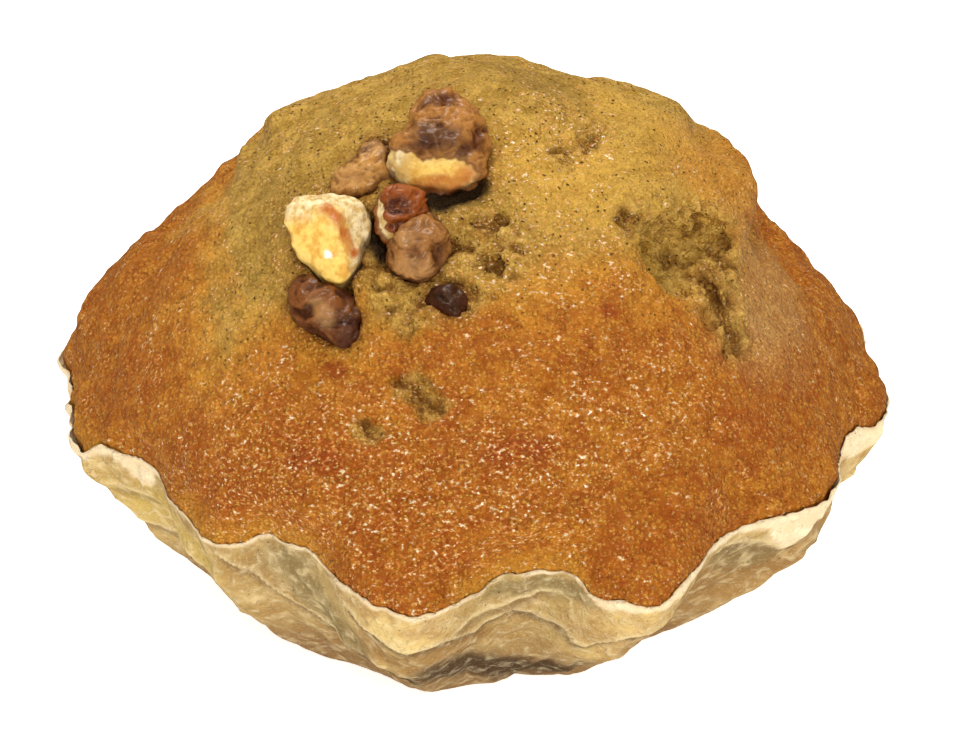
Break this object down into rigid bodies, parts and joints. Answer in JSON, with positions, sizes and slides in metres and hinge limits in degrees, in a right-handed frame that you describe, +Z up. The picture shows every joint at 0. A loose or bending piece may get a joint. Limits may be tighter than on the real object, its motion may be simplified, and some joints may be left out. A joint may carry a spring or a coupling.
{
  "type": "walnut muffin in a paper case",
  "caption": "Domed cinnamon muffin with walnut pieces sunk in its browned crust, standing in a crumpled greaseproof paper case.",
  "frame": {"origin": "on the table, under the middle of the whole seen from above", "axes": "+Z up, -Y towards the side of the crown that the walnut pieces lie on, +X towards the torn flap of crust"},
  "size_m": [0.0958, 0.0948, 0.0676],
  "materials": {
    "crust": "baked crumb, browned to orange brown round the edge and yellow on top, slightly moist with a sugary sparkle",
    "paper": "oily translucent greaseproof paper, tan and olive, with a dry ivory top edge",
    "walnut_cut": "toasted walnut flesh, cream and yellow where it is broken",
    "walnut_skin": "wrinkled red brown walnut skin, satin"
  },
  "bodies": {
    "root": {"muffin_crumb": "crust", "paper_case": "paper", "walnut_cream_chunk": "walnut_cut", "walnut_top_quarter": "walnut_skin", "walnut_red_slab": "walnut_skin", "walnut_pink_lobe": "walnut_skin", "walnut_back_lobes": "walnut_skin", "walnut_lower_lobes": "walnut_skin", "walnut_dark_tip": "walnut_skin"}
  },
  "joints": []
}
